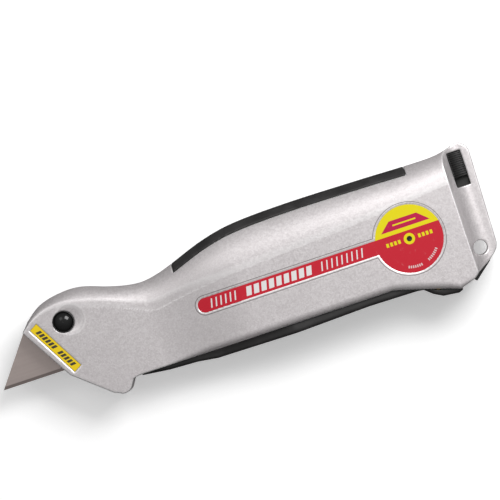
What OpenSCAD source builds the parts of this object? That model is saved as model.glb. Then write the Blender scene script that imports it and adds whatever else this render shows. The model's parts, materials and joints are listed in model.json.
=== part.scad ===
// Squeeze-grip utility knife. Squeezing the lever drives the blade out of the nose.
// The knife lies on its far side. X runs from nose to tail, Y from lever to spine,
// and Z through the thickness towards the label side.

/* [Casing] */
// Thickness of the handle
handle_thick = 26; // [26:0.5:28]
// Thickness of the nose
nose_thick = 15; // [15:0.5:17]
// Where the nose starts to widen into the handle
widen_start = 48; // [44:1:50]
// Where the handle has its full thickness
widen_end = 86; // [80:1:88]
// Height of the parting face below the middle plane
seam_drop = 3.5; // [3.3:0.1:4]
// Thickness of the tail fin
fin_thick = 10; // [9:0.5:12]
// Radius of the scoops that thin the tail
scoop_r = 8; // [7.5:0.1:8.5]
// Radius of the hanging hole
hang_r = 2.75; // [2:0.05:2.9]

/* [Blade] */
// Length of the cutting edge
blade_len = 61; // [59:0.5:62]
// Width of the blade from edge to back
blade_w = 19; // [18.5:0.1:19]
// Thickness of the blade
blade_t = 0.6; // [0.45:0.05:0.65]
// How far each end slants back from edge to back
blade_slant = 14.5; // [11:0.5:15]
// Width of the ground bevel
bevel_w = 1.2; // [0.8:0.1:2]
// Travel of the blade into the nose
stroke = 28; // [26:0.5:28]

/* [Lever] */
// Angle that the lever opens
lever_angle = 10; // [9:0.5:10]
// Height of the carriage pin above the casing's lower edge
drive_y = 16; // [15:0.5:17]
// Radius of the carriage pin
drive_r = 1.5; // [1.2:0.1:1.6]
// Radius of the lever's pivot pin
pivot_r = 2; // [1.8:0.1:2.2]
// Wire radius of the lever spring
lever_wire_r = 0.5; // [0.4:0.05:0.5]

/* [Button] */
// Radius of the button's dome
button_r = 3.7; // [2.8:0.1:3.7]
// Travel of the button
button_travel = 1.4; // [0.8:0.1:1.4]
// Wire radius of the button spring
button_wire_r = 0.2; // [0.15:0.05:0.25]

/* [Lock slider] */
// Travel of the slider
slider_travel = 3.5; // [3:0.1:3.5]
// Number of grip ribs
slider_ribs = 12; // [6:1:12]

/* [Spare blade drawer] */
// Number of spare blades
spare_count = 5; // [1:1:5]

/* [Labels] */
// Width of the long stripe
stripe_w = 5.5; // [4:0.1:6]
// Radius of the round end
disc_r = 13; // [10:0.5:13.5]
// Depth of the recess that holds the label
label_recess = 0.3; // [0.2:0.05:0.4]

/* [Hidden] */

$fn = 48;
big = 60;                    // reach of a cutter past the casing
gap = 0.05;                  // clearance between fixed pieces
mid = handle_thick / 2;      // height of the middle plane above the table
nose_half = nose_thick / 2;
fin_half = fin_thick / 2;

// Casing outline, seen from the label side
tail_x = 183.7;
chin = [26, -3.3];
hook_c = [30.2, -1.3];
hook_r = 3.6;
scoop_x = 172.5;             // front edge of the tail scoops
cover_end = 170.9;           // rear edge of the back cover
outline = concat(
    [[-0.2, 29.4], [0.4, 28.5], [11.1, 10.3], [12.3, 8.3], chin],
    arc(hook_c, hook_r, 232, 332, 8),
    [[34.8, -0.65], [35.8, -0.3], [38, 0], [139.2, 0], [142.6, -0.8], [150.5, -3.1], [164.2, -7.3],
     [165, -7.1], [170.5, -5.3], [172.6, -3.6], [178.1, -0.6], [182.4, 3.6], [182.7, 4.7],
     [tail_x, 41.6], [183.2, 43.8], [181.6, 45.4], [181, 46.6], [181, big], [-0.2, big]]);

// Spine, as X and Y of its ridge line
spine_points = [[-2, 29.6], [0, 29.8], [2.8, 32.8], [7.7, 36.6], [11.8, 38.3], [17, 39.3], [23, 39.6],
    [28.1, 38.7], [36, 36], [44, 34], [50, 33.6], [58, 35.2], [75, 41], [88, 43.7], [110, 44.6],
    [140, 44.2], [166, 43.6], [173, 44.2], [181, 46.6], [186, 48]];
// Upper edge of the flat side, as X and Y
flat_points = [[-2, 29.1], [0, 29.3], [4.5, 32.6], [8.7, 34.5], [12.6, 35.3], [16.3, 35.5],
    [19.8, 35.1], [27.9, 32.7], [34.4, 30.6], [46, 25.6], [51.9, 23.8], [59.8, 24.4], [69.6, 25],
    [100, 26.5], [140, 29], [172, 32], [186, 33.5]];
// How deep the rounding of the spine reaches from the flat side
round_points = [[-2, 6], [48, 6], [86, 11], [150, 11], [172, 7], [186, 6]];
stations = concat([for (x = [-1:3:29]) x], [for (x = [32:4:88]) x], [for (x = [98:10:168]) x],
    [for (x = [172:3:187]) x]);
skin_floor = -12;

// Inner bays, each as its low and high corner
blade_slot = [[-2, 9.9, -0.8], [15, 30.2, 0.8]];
carriage_bay = [[13, 9.9, -3.2], [92.5, 30.2, 3.2]];
rail_seats = [[26, 20, -4.25], [50, 23, 4.25]];
lever_front_bay = [[37.4, -20, -5.3], [87, 8.5, 5.3]];
lever_mid_bay = [[69.4, -20, -8], [100, 27, 8]];
lever_rear_bay = [[84.8, -20, -10.6], [166.2, 27, 10.6]];
upper_bay = [[86, 26, -8], [158, 36, 8]];
plate_bay = [[52.4, -20], [52.4, 21], [60, 25], [92, 33], [92, -20]];
plate_bay_half = 5.3;
bar_slot = [[149, 29.2, 3], [175, 36.9, 4.9]];
slider_pocket = [[174.9, 29.3, 2.9], [180.4, 43, mid + 1]];
drawer_channel = [[110, 8.6, -2.6], [tail_x + 2, 29.3, 2.6]];
pull_notch = [[181, 14, -fin_half - 1], [tail_x + 2, 24, -2.4]];
pad_rib = [[95.6, 12, -2.9], [98.4, 37, 2.9]];
seam_z = -seam_drop;

// Fasteners
screw_spots = [[24, 4, -nose_half], [23, 33.6, -nose_half], [78, 33.2, 2 - mid], [134, 33, -mid],
    [163.5, 32, -mid]];
screw_r = 1.45;
screw_head_r = 2.6;
screw_head_h = 1.7;
screw_sink = 0.3;
screw_top = 1.5;
dowel_spots = [[12, 33], [168.7, 5.6]];
dowel_r = 1.2;
dowel_reach = 2;
post_r = 3.2;

// Spine grip and tail insert
grip_x = [62, 158];
grip_deep = 3.6;
insert_outline = [[178.3, -0.7], [171, -6.7], [170.1, -5.7], [171.2, -2.9], [176.4, 1.4]];
insert_half = 4;

// Label and warning strip
stripe_y = 17.4;
stripe_x = 67;
disc_c = [151.5, 16.9];
label_margin = 1;
label_t = 0.2;
sticker_corner = [17.5, 10.7];
sticker_size = [3.6, 23.3];
sticker_tilt = 29.3;
sticker_t = 0.15;

// Button on the nose
button_c = [16.2, 28.5];
well_r = 4.1;
collar_z = [6.6, 7.9];
flange_z = [5.75, 6.5];
well_floor = flange_z[0] - button_travel - 0.15;
button_top = 9.2;
button_foot = 3.5;
stem_r = 1.4;
spring_room_r = 3;
spring_room_top = 7;
button_spring_r = 2.3;
button_turns = 3;
dish_c = [18.8, 28.7];
dish_r = 5.3;
dish_deep = 0.8;

// Blade, carriage and guides
edge_y = 10.7;
tip_x = -14.5;
back_y = edge_y + blade_w;
notch_spots = [11, 21];
notch_w = 3;
notch_deep = 2.6;
carriage_front = 14;
carriage_rear = 64;
seat_rear = 50;
carriage_y = [12.2, 28.2];
carriage_half = 2.5;
groove_y = [19.9, 23.1];
groove_z = 1.8;
keeper_z = [0.34, 1.1];
keeper_c = [46.5, 17];
keeper_screw_r = 1.2;
rail_y = [20, 23];
rail_z = [1.9, 3, 4.2];
rail_x = [26, 50, 78];
drive_x = 58;
drive_half = 5.1;
pad_box = [[92.8, 14, -2.4], [95.55, 20, 2.4]];

// Lever
pivot_c = [157, -1.5];
hub_half = 5;
bush_r = 3.5;
bush_z = [3, 9.9];
pin_half = 12;
lever_x = [38.2, 71, 87];
lever_half = [4.9, 7.6, 10.2];
lever_under = [[38.2, -0.5], [49, -1.8], [60, -2.3], [68, -3.4], [100, -3.7], [129, -2.8],
    [148, -3.1], [150.5, -3.4], [153.5, -6], [156.9, -7.9], [163.1, -8.7], [164.8, -8]];
lever_over = [[165, -3], [162.5, 2], [158, 5.5], [150, 8], [86, 8], [52, 5.5], [38.2, 3.6]];
lever_wall_in = 8;
web_half = 3.1;
web_top = 5;
coil_r = 3;
coil_turns = 4;
coil_half = 2.3;
coil_room_r = 4;

// Cam plates and the lock notches
plate_z = [3.2, 4.7];
slot_half = drive_r + 0.15;
band_half = 3.4;
plate_web = [[54.6, 1.4], [54.6, 16], [90, 28], [98, 24], [116, 9], [150, 7.5], [160, 2], [160, -2],
    [150, 1.4]];
hub_r = 5;
lock_r = 20;
lock_notch_r = 16.8;
lock_notch_half = 1;
rivet_spots = [[76, 3.2], [100, 3.2], [122, 3.2]];
rivet_r = 1.2;
rivet_head_r = 2;

// Latch bar, slider and leaf
bar_z = [3.2, 4.7];
bar_arm = [[150, 33.1], [177.6, 36.4]];
bar_leg_x = [156.2, 157.8];
bar_leg_low = 19.4;
slider_box = [[175.1, 32.9, 3.05], [180.2, 42.8, mid]];
slider_proud = 0.6;
rib_deep = 0.45;
leaf_y = [31.5, 35.5];
leaf_post = [146, 33.5];

// Spare blade drawer
tray_box = [[112, 8.8, -2.4], [182.6, 29.1, 2.4]];
tray_pocket = [[114, 9.3, -1.9], [178, 28.6, 5]];
spare_x = 115.5;
spare_z = -1.5;
spare_pitch = 0.68;

// The origin is under the middle of the whole knife
low_y = -8.7;
high_y = 46.6;
centre = [(tip_x + tail_x) / 2, (low_y + high_y) / 2];

// Points on an arc round c, from angle a0 to a1
function arc(c, r, a0, a1, n) = [for (i = [0:n]) let (a = a0 + (a1 - a0) * i / n) c + r * [cos(a), sin(a)]];
// Smooth curve through points that are sorted by X
function span(p, x, i = 0) = (i >= len(p) - 2 || x < p[i + 1].x) ? i : span(p, x, i + 1);
function slope(p, i) =
    let (a = max(i - 1, 0), b = min(i + 1, len(p) - 1)) (p[b].y - p[a].y) / (p[b].x - p[a].x);
function curve(p, x) =
    let (i = span(p, x), w = p[i + 1].x - p[i].x, t = (x - p[i].x) / w, s = 1 - t)
    p[i].y * (1 + 2 * t) * s * s + w * slope(p, i) * t * s * s
    + p[i + 1].y * (3 - 2 * t) * t * t - w * slope(p, i + 1) * s * t * t;
function ease(t) = t <= 0 ? 0 : t >= 1 ? 1 : t * t * (3 - 2 * t);
function half(x) = nose_half + (mid - nose_half) * ease((x - widen_start) / (widen_end - widen_start));
function turn(v, a) = [v.x * cos(a) - v.y * sin(a), v.x * sin(a) + v.y * cos(a)];
// Centre line of the cam slot, from the pin's place as the lever opens by part t
function slot_point(t) = pivot_c + turn([drive_x + stroke * t, drive_y] - pivot_c, -lever_angle * t);

// Cross-section of the casing's skin at x
function section(x) =
    let (h = half(x), rz = lookup(x, round_points))
    let (y0 = curve(flat_points, x), ry = curve(spine_points, x) - y0)
    concat([[x, skin_floor, -h], [x, skin_floor, h]],
        [for (a = [0:10:90]) [x, y0 + ry * sin(a), h - rz + rz * cos(a)]],
        [for (a = [90:-10:0]) [x, y0 + ry * sin(a), rz - h - rz * cos(a)]]);

// Box between two corners
module block(b) {
    translate(b[0]) cube(b[1] - b[0]);
}

// Extrusion of a flat shape between two heights
module sheet(z0, z1) {
    translate([0, 0, z0]) linear_extrude(z1 - z0) children();
}

// Round bar between two heights
module rod(c, r, z0, z1) {
    translate([c.x, c.y, z0]) cylinder(r = r, h = z1 - z0);
}

// Moves the casing's own coordinates to the part's origin
module place() {
    translate([-centre.x, -centre.y, mid]) children();
}

// Closed loft through the rings of points
module loft(rings) {
    n = len(rings[0]);
    m = len(rings);
    sides = [for (k = [0:m - 2], i = [0:n - 1]) let (a = k * n + i, b = k * n + (i + 1) % n)
        each [[a, b, b + n], [a, b + n, a + n]]];
    polyhedron([for (r = rings) each r],
        concat([[for (i = [n - 1:-1:0]) i]], sides, [[for (i = [0:n - 1]) (m - 1) * n + i]]));
}

// Wire along a path that never runs along Z
module wire(path, r, sides = 8) {
    last = len(path) - 1;
    loft([for (i = [0:last])
        let (d = path[min(i + 1, last)] - path[max(i - 1, 0)], t = d / norm(d),
            u = cross(t, [0, 0, 1]) / norm(cross(t, [0, 0, 1])), v = cross(u, t))
        [for (k = [0:sides - 1]) path[i] + r * (cos(360 * k / sides) * u - sin(360 * k / sides) * v)]]);
}

// Layer that follows the near side between two depths below its surface
module side_layer(low, high, x0, x1) {
    xs = concat([x0], [for (x = stations) if (x > x0 && x < x1) x], [x1]);
    translate([0, big, 0]) rotate([90, 0, 0]) linear_extrude(2 * big)
        polygon(concat([for (x = xs) [x, half_straight(x) - low]],
            [for (i = [len(xs) - 1:-1:0]) [xs[i], half_straight(xs[i]) - high]]));
}
function half_straight(x) = lookup(x, [for (s = stations) [s, half(s)]]);

module casing_solid() {
    difference() {
        intersection() {
            loft([for (x = stations) section(x)]);
            sheet(-mid - 1, mid + 1) polygon(outline);
        }
        for (side = [-1, 1]) {
            translate([scoop_x + scoop_r, big, side * (fin_half + scoop_r)]) rotate([90, 0, 0])
                cylinder(r = scoop_r, h = 2 * big);
            translate([scoop_x + scoop_r, -big, side > 0 ? fin_half : -fin_half - mid])
                cube([20, 2 * big, mid]);
        }
        sheet(-mid - 1, mid + 1) grip_shape();
        sheet(-insert_half, insert_half) polygon(insert_outline);
    }
}

// Side view of the spine grip's seat
module grip_shape() {
    xs = [for (i = [0:16]) grip_x[0] + (grip_x[1] - grip_x[0]) * i / 16];
    polygon(concat([for (x = xs) [x, curve(spine_points, x) - grip_deep]],
        [[grip_x[1], big], [grip_x[0], big]]));
}

// Everything that both casing halves are hollowed by
module bays() {
    block(blade_slot);
    block(carriage_bay);
    block(rail_seats);
    block(lever_front_bay);
    block(lever_mid_bay);
    block(lever_rear_bay);
    block(upper_bay);
    sheet(-plate_bay_half, plate_bay_half) polygon(plate_bay);
    rod(pivot_c, pivot_r + 0.03, -pin_half - gap, pin_half + gap);
    for (p = dowel_spots) rod(p, dowel_r + 0.02, seam_z - dowel_reach - gap, seam_z + dowel_reach + gap);
}

module screw_holes(r) {
    for (p = screw_spots) rod(p, r, -mid - 1, screw_top + 0.5);
}

module label_shape(extra) {
    end = stripe_w / 2;
    translate([stripe_x + end, stripe_y]) circle(end + extra);
    translate([stripe_x + end, stripe_y - end - extra])
        square([disc_c.x - stripe_x - end, stripe_w + 2 * extra]);
    translate(disc_c) circle(disc_r + extra, $fn = 96);
}

module sticker_shape() {
    translate(sticker_corner) rotate(sticker_tilt) translate([-sticker_size.x, 0]) square(sticker_size);
}

module dish() {
    ball_r = (dish_r * dish_r + dish_deep * dish_deep) / (2 * dish_deep);
    translate([dish_c.x, dish_c.y, nose_half - dish_deep + ball_r]) sphere(ball_r, $fn = 96);
}

module main_body() color([0.82, 0.82, 0.84]) place() {
    difference() {
        union() {
            difference() {
                casing_solid();
                translate([-big, -big, -mid - 1]) cube([big + cover_end + gap, 3 * big, mid + 1 + seam_z]);
                bays();
            }
            block(pad_rib);
            rod(screw_spots[3], post_r, seam_z, 8.2);
            rod(leaf_post, 2.5, 6, 8.2);
            rod(leaf_post, 1, 5.2, 8.2);
        }
        screw_holes(screw_r + gap);
        block(bar_slot);
        block(slider_pocket);
        block(drawer_channel);
        block(pull_notch);
        rod([176.1, 5.1], hang_r, -mid, mid);
        rod(button_c, well_r + 0.02, well_floor, mid);
        rod(button_c, stem_r + gap, 0, mid);
        dish();
        intersection() {
            side_layer(label_recess, -1, stripe_x - 4, scoop_x);
            sheet(0, mid + 2) label_shape(label_margin);
        }
        sheet(nose_half - sticker_t - 0.02, nose_half + 1) sticker_shape();
        translate([166, 2.3, -coil_half]) rotate([0, 90, 0]) cylinder(r = lever_wire_r + 0.2, h = 3);
    }
}

module back_cover() color([0.78, 0.78, 0.8]) place() {
    difference() {
        union() {
            difference() {
                intersection() {
                    casing_solid();
                    translate([-big, -big, -mid - 1])
                        cube([big + cover_end, 3 * big, mid + 1 + seam_z - gap]);
                }
                bays();
            }
            rod(screw_spots[3], post_r, -8.2, seam_z - gap);
        }
        screw_holes(screw_r + gap);
        for (p = screw_spots) rod(p, screw_head_r + 0.2, -mid - 1, p.z + screw_sink + screw_head_h);
        block(drawer_channel);
    }
}

module spine_grip() color([0.13, 0.13, 0.13]) place() {
    intersection() {
        loft([for (x = stations) section(x)]);
        sheet(-mid - 1, mid + 1) translate([0, gap]) intersection() {
            grip_shape();
            translate([grip_x[0] + gap, 0]) square([grip_x[1] - grip_x[0] - 2 * gap, 2 * big]);
        }
    }
}

module tail_insert() color([0.12, 0.12, 0.12]) place() {
    sheet(-insert_half + gap, insert_half - gap) polygon(insert_outline);
}

module cover_screws() color([0.55, 0.55, 0.57]) place() {
    for (p = screw_spots) {
        difference() {
            union() {
                rod(p, screw_head_r, p.z + screw_sink, p.z + screw_sink + screw_head_h);
                rod(p, screw_r, p.z + screw_sink + 1, screw_top);
            }
            translate([p.x, p.y, p.z - 1]) cylinder(r = 1.3, h = 2.4, $fn = 6);
        }
    }
}

module locating_pins() color([0.6, 0.6, 0.62]) place() {
    for (p = dowel_spots) rod(p, dowel_r, seam_z - dowel_reach, seam_z + dowel_reach);
}

module guide_rails() color([0.6, 0.61, 0.63]) place() {
    for (side = [0, 1]) mirror([0, 0, side]) {
        block([[rail_x[0] + gap, rail_y[0] + gap, rail_z[0]], [rail_x[1] - gap, rail_y[1] - gap, rail_z[2]]]);
        block([[rail_x[1] - 1, rail_y[0] + gap, rail_z[0]], [rail_x[2], rail_y[1] - gap, rail_z[1]]]);
    }
}

module stop_pad() color([0.15, 0.15, 0.15]) place() {
    block(pad_box);
}

module side_label() color([0.86, 0.13, 0.2]) place() {
    intersection() {
        side_layer(label_recess - 0.01, label_recess - label_t, stripe_x - 4, scoop_x);
        sheet(0, mid + 2) label_shape(0);
    }
}

module warning_label() color([0.97, 0.83, 0.1]) place() {
    sheet(nose_half - sticker_t, nose_half) intersection() {
        sticker_shape();
        translate([0.02, 0.02]) sticker_shape();
    }
}

module button_collar() color([0.15, 0.15, 0.16]) place() {
    difference() {
        rod(button_c, well_r, collar_z[0], collar_z[1]);
        rod(button_c, button_r + 0.08, 0, mid);
    }
}

module release_button() color([0.08, 0.08, 0.08]) place() {
    dome_h = button_top - collar_z[1] + 0.2;
    dome_r = (button_r * button_r + dome_h * dome_h) / (2 * dome_h);
    difference() {
        union() {
            rod(button_c, well_r - 0.1, flange_z[0], flange_z[1]);
            intersection() {
                rod(button_c, button_r, flange_z[0], mid);
                translate([button_c.x, button_c.y, button_top - dome_r]) sphere(dome_r);
            }
            rod(button_c, stem_r, button_foot, flange_z[1]);
        }
        difference() {
            rod(button_c, spring_room_r, flange_z[0] - 1, spring_room_top);
            rod(button_c, stem_r, 0, mid);
        }
    }
}

module button_spring() color([0.7, 0.7, 0.72]) place() {
    z0 = well_floor + button_wire_r + 0.02;
    z1 = spring_room_top - button_wire_r - 0.02;
    steps = button_turns * 16;
    wire([for (i = [0:steps]) let (a = 360 * button_turns * i / steps)
        let (v = button_c + button_spring_r * [cos(a), sin(a)]) [v.x, v.y, z0 + (z1 - z0) * i / steps]],
        button_wire_r);
}

// Side view of the lever without its hollows
module lever_outline() {
    polygon(concat(lever_under, lever_over));
}

module squeeze_lever() color([0.14, 0.14, 0.14]) place() {
    difference() {
        for (i = [0:2]) {
            x1 = i < 2 ? lever_x[i + 1] + 0.5 : 166;
            sheet(-lever_half[i], lever_half[i]) intersection() {
                lever_outline();
                translate([lever_x[i] - 1, -big]) square([x1 - lever_x[i] + 1, 2 * big]);
            }
        }
        for (side = [0, 1]) mirror([0, 0, side]) {
            block([[54.2, 1, web_half], [152, big, lever_wall_in]]);
        }
        block([[54.2, web_top, -web_half - 1], [126, big, web_half + 1]]);
        block([[126, 0, -hub_half], [152, big, hub_half]]);
        block([[151, -0.8, -hub_half], [166, big, hub_half]]);
        rod(pivot_c, coil_room_r + 1, -hub_half, hub_half);
        rod(pivot_c, bush_r + 0.02, -mid, mid);
        for (p = rivet_spots) rod(p, rivet_r + 0.02, -mid, mid);
    }
}

module slot_band(w) {
    n = 12;
    ends = [slot_point(-0.02), slot_point(1.02)];
    along = [for (i = [0:n]) slot_point(-0.02 + 1.04 * i / n)];
    dir = [for (i = [0:n]) let (d = along[min(i + 1, n)] - along[max(i - 1, 0)]) d / norm(d)];
    polygon(concat([for (i = [0:n]) along[i] + w * [-dir[i].y, dir[i].x]],
        [for (i = [n:-1:0]) along[i] - w * [-dir[i].y, dir[i].x]]));
    for (e = ends) translate(e) circle(w);
}

module plate_shape() {
    difference() {
        union() {
            polygon(plate_web);
            slot_band(band_half);
            translate(pivot_c) circle(hub_r);
            translate(pivot_c) polygon(concat([[0, 0]], arc([0, 0], lock_r, 72, 100, 7)));
        }
        slot_band(slot_half);
        translate(pivot_c) circle(bush_r + 0.02);
        for (a = [0, lever_angle]) translate(pivot_c) rotate(-a)
            translate([-lock_notch_half, lock_notch_r - slider_travel + 3]) square([2 * lock_notch_half, 10]);
        for (p = rivet_spots) translate(p) circle(rivet_r + 0.02);
    }
}

module cam_plates() color([0.62, 0.63, 0.65]) place() {
    for (side = [0, 1]) mirror([0, 0, side]) sheet(plate_z[0], plate_z[1]) plate_shape();
}

module plate_rivets() color([0.7, 0.68, 0.6]) place() {
    for (p = rivet_spots) {
        rod(p, rivet_r, -plate_z[1] - 0.5, plate_z[1] + 0.5);
        for (side = [0, 1]) mirror([0, 0, side]) rod(p, rivet_head_r, plate_z[1] + 0.02, plate_z[1] + 0.6);
    }
}

module pivot_bushes() color([0.76, 0.6, 0.3]) place() {
    for (side = [0, 1]) mirror([0, 0, side]) difference() {
        rod(pivot_c, bush_r, bush_z[0], bush_z[1]);
        rod(pivot_c, pivot_r + gap, 0, mid);
    }
}

module lever_pivot_pin() color([0.65, 0.66, 0.68]) place() {
    rod(pivot_c, pivot_r, -pin_half, pin_half);
}

module lever_spring() color([0.7, 0.71, 0.73]) place() {
    steps = coil_turns * 16;
    wire(concat([[168.6, 2.3, -coil_half]],
        [for (i = [0:steps]) let (a = 90 + 360 * coil_turns * i / steps)
            [pivot_c.x + coil_r * cos(a), pivot_c.y + coil_r * sin(a), coil_half * (2 * i / steps - 1)]],
        [[121, 6.6, coil_half]]), lever_wire_r);
}

module blade_shape(x) {
    difference() {
        polygon([[x, edge_y], [x + blade_len, edge_y], [x + blade_len - blade_slant, back_y],
            [x + blade_slant, back_y]]);
        for (n = notch_spots)
            translate([x - tip_x + n - notch_w / 2, back_y - notch_deep]) square([notch_w, 10]);
    }
}

module edge_profile() {
    polygon([[edge_y, -0.02], [edge_y + bevel_w, -blade_t / 2], [back_y + 1, -blade_t / 2],
        [back_y + 1, blade_t / 2], [edge_y + bevel_w, blade_t / 2], [edge_y, 0.02]]);
}

// One blade, lying flat with its middle at height 0
module one_blade(x) {
    intersection() {
        sheet(-1, 1) blade_shape(x);
        translate([x - 1, 0, 0]) rotate([90, 0, 90]) linear_extrude(blade_len + 2) edge_profile();
    }
}

module blade() color([0.6, 0.58, 0.55]) place() {
    one_blade(tip_x);
}

module blade_carriage() color([0.35, 0.36, 0.38]) place() {
    seat = -blade_t / 2 - 0.02;
    difference() {
        union() {
            block([[carriage_front, carriage_y[0], -carriage_half], [seat_rear, carriage_y[1], seat]]);
            block([[seat_rear - 1, carriage_y[0], -carriage_half],
                [carriage_rear, carriage_y[1], carriage_half]]);
            block([[notch_spots[1] - 1.3, back_y - notch_deep + 0.15, seat - 1],
                [notch_spots[1] + 1.3, carriage_y[1], 0.2]]);
        }
        block([[0, groove_y[0], -carriage_half - 1], [big + 10, groove_y[1], -groove_z]]);
        block([[0, groove_y[0], groove_z], [big + 10, groove_y[1], carriage_half + 1]]);
        rod([drive_x, drive_y], drive_r + 0.02, -mid, mid);
        rod(keeper_c, keeper_screw_r + 0.02, -carriage_half + 0.3, 1);
    }
}

module blade_keeper() color([0.68, 0.69, 0.7]) place() {
    difference() {
        union() {
            block([[14.5, 13, keeper_z[0]], [seat_rear - 1.2, 28.2, keeper_z[1]]]);
            block([[14.5, 28, keeper_z[0]], [19, 29.5, keeper_z[1]]]);
            rod([button_c.x, 28], 1.2, keeper_z[1] - 0.2, keeper_z[1] + 0.5);
        }
        rod(keeper_c, keeper_screw_r + gap, -1, 3);
        block([[24, 19, -1], [44, 22, 3]]);
    }
}

module keeper_screw() color([0.5, 0.5, 0.52]) place() {
    difference() {
        union() {
            rod(keeper_c, keeper_screw_r, -carriage_half + 0.4, keeper_z[1] + 0.1);
            rod(keeper_c, 2.1, keeper_z[1] + 0.02, keeper_z[1] + 0.65);
        }
        translate([keeper_c.x, keeper_c.y, keeper_z[1] + 0.25]) cube([5, 0.6, 1], center = true);
    }
}

module drive_pin() color([0.66, 0.67, 0.69]) place() {
    rod([drive_x, drive_y], drive_r, -drive_half, drive_half);
}

module lock_slider() color([0.1, 0.1, 0.1]) place() {
    axis_z = fin_half + scoop_r;
    pitch = (slider_box[1].y - slider_box[0].y) / slider_ribs;
    difference() {
        block(slider_box);
        translate([scoop_x + scoop_r, big, axis_z]) rotate([90, 0, 0])
            cylinder(r = scoop_r - slider_proud, h = 2 * big);
        intersection() {
            translate([scoop_x + scoop_r, big, axis_z]) rotate([90, 0, 0])
                cylinder(r = scoop_r - slider_proud + rib_deep, h = 2 * big);
            for (i = [1:slider_ribs - 1])
                translate([170, slider_box[0].y + pitch * i - 0.25, 0]) cube([15, 0.5, 20]);
        }
        block([[170, bar_arm[0].y - 0.02, bar_z[0] - 0.02],
            [bar_arm[1].x + 0.05, bar_arm[1].y + 0.02, bar_z[1] + 0.02]]);
    }
}

module latch_bar() color([0.6, 0.61, 0.63]) place() {
    sheet(bar_z[0], bar_z[1]) {
        translate(bar_arm[0]) square(bar_arm[1] - bar_arm[0]);
        translate([bar_leg_x[0], bar_leg_low])
            square([bar_leg_x[1] - bar_leg_x[0], bar_arm[1].y - bar_leg_low]);
    }
}

module detent_leaf() color([0.72, 0.72, 0.74]) place() {
    difference() {
        translate([0, leaf_y[1], 0]) rotate([90, 0, 0]) linear_extrude(leaf_y[1] - leaf_y[0])
            polygon([[143.5, 5.6], [149, 5.6], [152, 4.9], [157.4, 5], [157.4, 5.25], [152.1, 5.25],
                [149.2, 5.95],
                [143.5, 5.95]]);
        rod(leaf_post, 1.02, 4, 7);
    }
}

module magazine_tray() color([0.16, 0.16, 0.17]) place() {
    difference() {
        block(tray_box);
        block(tray_pocket);
        for (y = [15.5:2:23]) block([[180.4, y, -3], [tail_x, y + 0.8, -2]]);
    }
}

module spare_blades() color([0.62, 0.6, 0.57]) place() {
    for (i = [0:spare_count - 1])
        translate([0, 9.45 - edge_y, spare_z + spare_pitch * i]) one_blade(spare_x);
}

main_body();
back_cover();
spine_grip();
tail_insert();
cover_screws();
locating_pins();
guide_rails();
stop_pad();
side_label();
warning_label();
button_collar();
release_button();
button_spring();
squeeze_lever();
cam_plates();
plate_rivets();
pivot_bushes();
lever_pivot_pin();
lever_spring();
blade_carriage();
blade();
blade_keeper();
keeper_screw();
drive_pin();
lock_slider();
latch_bar();
detent_leaf();
magazine_tray();
spare_blades();
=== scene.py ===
import json
import math

import bpy
import numpy as np
from mathutils import Matrix, Vector


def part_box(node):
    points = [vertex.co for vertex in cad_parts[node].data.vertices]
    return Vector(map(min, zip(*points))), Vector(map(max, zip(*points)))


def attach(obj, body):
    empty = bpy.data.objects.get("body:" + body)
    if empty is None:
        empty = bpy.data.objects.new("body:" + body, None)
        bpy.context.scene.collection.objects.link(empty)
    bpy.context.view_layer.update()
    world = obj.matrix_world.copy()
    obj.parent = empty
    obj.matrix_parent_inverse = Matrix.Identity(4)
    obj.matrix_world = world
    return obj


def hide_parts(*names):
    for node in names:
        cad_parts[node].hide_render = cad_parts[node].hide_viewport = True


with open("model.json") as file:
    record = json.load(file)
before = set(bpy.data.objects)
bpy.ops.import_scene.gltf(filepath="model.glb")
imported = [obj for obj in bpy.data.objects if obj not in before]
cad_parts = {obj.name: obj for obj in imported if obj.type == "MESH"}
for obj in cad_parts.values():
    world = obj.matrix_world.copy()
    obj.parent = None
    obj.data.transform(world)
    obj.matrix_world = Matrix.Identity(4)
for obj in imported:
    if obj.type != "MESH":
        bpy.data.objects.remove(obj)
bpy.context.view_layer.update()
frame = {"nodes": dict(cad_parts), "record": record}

mm = 0.001

# The casing's own coordinates: millimetres from the nose tip, the lower edge and the middle plane
body = {"noseLeft": -0.2, "leverLow": -8.7, "thickness": 26.0}
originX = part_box("main_body")[0].x / mm - body["noseLeft"]
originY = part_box("squeeze_lever")[0].y / mm - body["leverLow"]
originZ = body["thickness"] / 2
origin = np.array([originX, originY, originZ])
slotOf = {}  # each made piece and its material slot


def meshObject(name, points, faces):
    mesh = bpy.data.meshes.new(name)
    corners = faces if isinstance(faces, list) else faces.tolist()
    mesh.from_pydata(((points + origin) * mm).tolist(), [], corners)
    mesh.validate()
    mesh.polygons.foreach_set("use_smooth", [True] * len(mesh.polygons))
    obj = bpy.data.objects.new(name, mesh)
    bpy.context.scene.collection.objects.link(obj)
    return obj


def standFor(obj, node, rider, slot):
    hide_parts(node)
    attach(obj, rider)
    slotOf[obj] = slot


netting = {"rounds": 3, "eps": 0.02, "leastSlope": 0.25, "pull": 0.4}


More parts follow.
